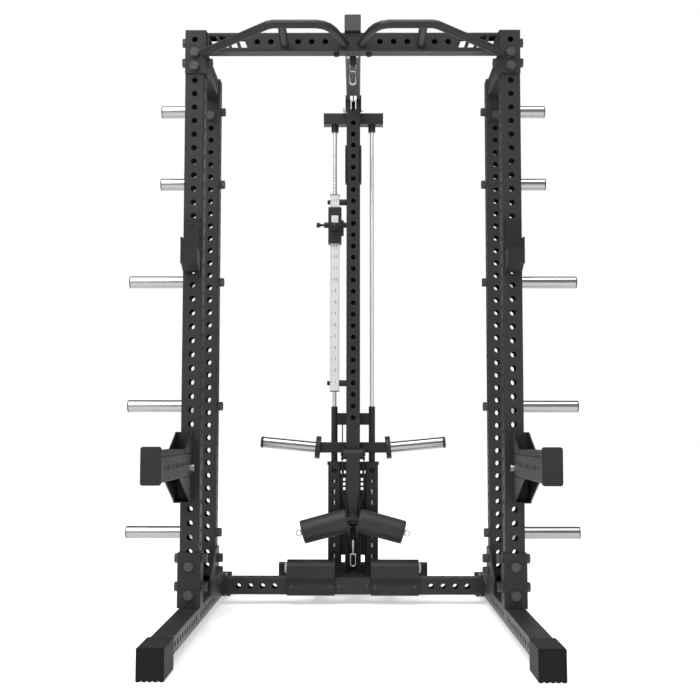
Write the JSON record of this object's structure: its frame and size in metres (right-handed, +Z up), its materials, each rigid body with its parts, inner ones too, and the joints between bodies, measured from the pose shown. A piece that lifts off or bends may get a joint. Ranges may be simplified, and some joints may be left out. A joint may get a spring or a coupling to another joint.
{
  "type": "power cage",
  "caption": "Half rack with holed uprights, long feet, spotter arms, J-cups, multi-grip pull-up bar, plate pegs and a plate-loaded cable tower with thigh rollers behind it.",
  "frame": {"origin": "centre of the footprint on the floor, between the two feet", "axes": "+Z up, -Y towards the user's side where the spotter arms point, +X to the right seen from the front"},
  "size_m": [1.8, 1.724, 2.238],
  "materials": {
    "frame_paint": "fine satin powder coat",
    "dark_paint": "fine satin powder coat",
    "boom_paint": "satin powder coat",
    "black_plastic": "matte",
    "black_rubber": "matte, slightly grained",
    "bright_chrome": "polished",
    "zinc_steel": "bright zinc",
    "bolt_steel": "dark zinc",
    "white_rail": "semi-gloss",
    "cable_black": "coated wire rope"
  },
  "bodies": {
    "rack": {"front_upright_left": "frame_paint", "front_upright_right": "frame_paint", "rear_upright_left": "frame_paint", "rear_upright_right": "frame_paint", "end_caps": "black_plastic", "base_foot_left": "frame_paint", "base_foot_right": "frame_paint", "foot_boots": "black_rubber", "foot_brackets": "dark_paint", "top_crossmember": "frame_paint", "top_side_beams": "frame_paint", "pull_up_bar_left": "dark_paint", "pull_up_bar_right": "dark_paint", "boom": "boom_paint", "front_pulley_bracket": "boom_paint", "centre_post": "frame_paint", "post_plates": "dark_paint", "top_crosspiece": "frame_paint", "guide_rods": "bright_chrome", "rod_bumpers": "black_rubber", "tower_channels": "dark_paint", "tower_back_plate": "dark_paint", "tower_base": "frame_paint", "rear_crossmember": "frame_paint", "foot_rest_left": "dark_paint", "foot_rest_right": "dark_paint", "scale_rail": "white_rail", "scale_rail_fittings": "black_plastic", "weight_pegs": "bright_chrome", "peg_caps": "black_plastic", "frame_bolts": "bolt_steel", "frame_nuts": "bolt_steel", "small_screws": "bolt_steel", "pulley_axles": "zinc_steel", "lat_cable_run": "cable_black", "lat_cable_front_drop": "cable_black", "lat_cable_rear_drop": "cable_black", "low_row_cable": "cable_black", "thigh_hinge_bracket": "dark_paint"},
    "carriage": {"carriage": "dark_paint", "carriage_horns": "bright_chrome"},
    "lat_hook": {"lat_hook": "zinc_steel"},
    "lat_hook_gate": {"lat_hook_gate": "zinc_steel"},
    "low_hook": {"low_hook": "zinc_steel"},
    "low_hook_gate": {"low_hook_gate": "zinc_steel"},
    "front_pulley": {"front_pulley": "black_plastic"},
    "rear_pulley": {"rear_pulley": "black_plastic"},
    "low_pulley": {"low_pulley": "black_plastic"},
    "thigh_arm": {"thigh_arm": "dark_paint"},
    "thigh_roller_left": {"thigh_roller_left": "black_rubber"},
    "thigh_roller_right": {"thigh_roller_right": "black_rubber"},
    "slider": {"slider": "dark_paint"},
    "slider_pin": {"slider_pin": "black_plastic"},
    "slider_knob": {"slider_knob": "black_plastic"},
    "jcup_left": {"jcup_left": "dark_paint"},
    "jcup_right": {"jcup_right": "dark_paint"},
    "spotter_arm_left": {"spotter_arm_left": "frame_paint"},
    "spotter_arm_right": {"spotter_arm_right": "frame_paint"},
    "spotter_pin_left": {"spotter_pin_left": "zinc_steel"},
    "spotter_pin_right": {"spotter_pin_right": "zinc_steel"}
  },
  "joints": [
    {"name": "carriage_lift", "type": "slide", "parent": "rack", "child": "carriage", "axis": [0, 0, 1], "range_m": [0, 1.15], "deforming": ["lat_cable_rear_drop"]},
    {"name": "lat_hook_pull", "type": "slide", "parent": "rack", "child": "lat_hook", "axis": [0, 0, -1], "range_m": [0, 1.15], "deforming": ["lat_cable_front_drop"]},
    {"name": "lat_gate_swing", "type": "hinge", "parent": "lat_hook", "child": "lat_hook_gate", "pos_m": [0.011, 0.012, 2.0415], "axis": [0, -1, 0], "range_deg": [0, 26], "stiffness_Nm_per_rad": 0.02, "springref_deg": -17.19},
    {"name": "low_hook_swing", "type": "hinge", "parent": "rack", "child": "low_hook", "pos_m": [0, 0.71, 0.256], "axis": [-1, 0, 0], "range_deg": [0, 34]},
    {"name": "low_gate_swing", "type": "hinge", "parent": "low_hook", "child": "low_hook_gate", "pos_m": [0.011, 0.71, 0.1585], "axis": [0, -1, 0], "range_deg": [0, 26], "stiffness_Nm_per_rad": 0.02, "springref_deg": -17.19},
    {"name": "front_pulley_turn", "type": "hinge", "parent": "rack", "child": "front_pulley", "pos_m": [0, 0.052, 2.145], "axis": [1, 0, 0], "range_deg": [0, 1648]},
    {"name": "rear_pulley_turn", "type": "hinge", "parent": "rack", "child": "rear_pulley", "pos_m": [0, 0.767, 2.145], "axis": [1, 0, 0], "range_deg": [0, 1648]},
    {"name": "low_pulley_turn", "type": "hinge", "parent": "rack", "child": "low_pulley", "pos_m": [0, 0.737, 0.306], "axis": [1, 0, 0], "continuous": true},
    {"name": "thigh_arm_swing", "type": "hinge", "parent": "rack", "child": "thigh_arm", "pos_m": [0, 0.69, 0.619], "axis": [-1, 0, 0], "range_deg": [0, 90]},
    {"name": "thigh_roller_left_turn", "type": "hinge", "parent": "thigh_arm", "child": "thigh_roller_left", "pos_m": [0, 0.649, 0.346], "axis": [-0.9659, 0, -0.2588], "continuous": true},
    {"name": "thigh_roller_right_turn", "type": "hinge", "parent": "thigh_arm", "child": "thigh_roller_right", "pos_m": [0, 0.649, 0.346], "axis": [0.9659, 0, -0.2588], "continuous": true},
    {"name": "slider_height", "type": "slide", "parent": "rack", "child": "slider", "axis": [0, 0, 1], "range_m": [-0.55, 0]},
    {"name": "slider_pin_pull", "type": "slide", "parent": "slider", "child": "slider_pin", "axis": [-1, 0, 0], "range_m": [0, 0.012], "stiffness_N_per_m": 600, "springref_m": -0.005},
    {"name": "slider_knob_turn", "type": "hinge", "parent": "slider", "child": "slider_knob", "pos_m": [-0.081, 0.718, 1.607], "axis": [0, 1, 0], "continuous": true},
    {"name": "jcup_left_lift_off", "type": "slide", "parent": "rack", "child": "jcup_left", "axis": [0, -1, 0], "range_m": [0, 0.09]},
    {"name": "spotter_arm_left_lift_off", "type": "slide", "parent": "rack", "child": "spotter_arm_left", "axis": [0, -1, 0], "range_m": [0, 0.09]},
    {"name": "spotter_pin_left_pull", "type": "slide", "parent": "spotter_arm_left", "child": "spotter_pin_left", "axis": [1, 0, 0], "range_m": [0, 0.08]},
    {"name": "jcup_right_lift_off", "type": "slide", "parent": "rack", "child": "jcup_right", "axis": [0, -1, 0], "range_m": [0, 0.09]},
    {"name": "spotter_arm_right_lift_off", "type": "slide", "parent": "rack", "child": "spotter_arm_right", "axis": [0, -1, 0], "range_m": [0, 0.09]},
    {"name": "spotter_pin_right_pull", "type": "slide", "parent": "spotter_arm_right", "child": "spotter_pin_right", "axis": [-1, 0, 0], "range_m": [0, 0.08]}
  ],
  "couplings": [
    {"joint": "lat_hook_pull", "follows": "carriage_lift", "ratio": 1},
    {"joint": "front_pulley_turn", "follows": "carriage_lift", "rad_per_m": 25},
    {"joint": "rear_pulley_turn", "follows": "carriage_lift", "rad_per_m": 25}
  ]
}
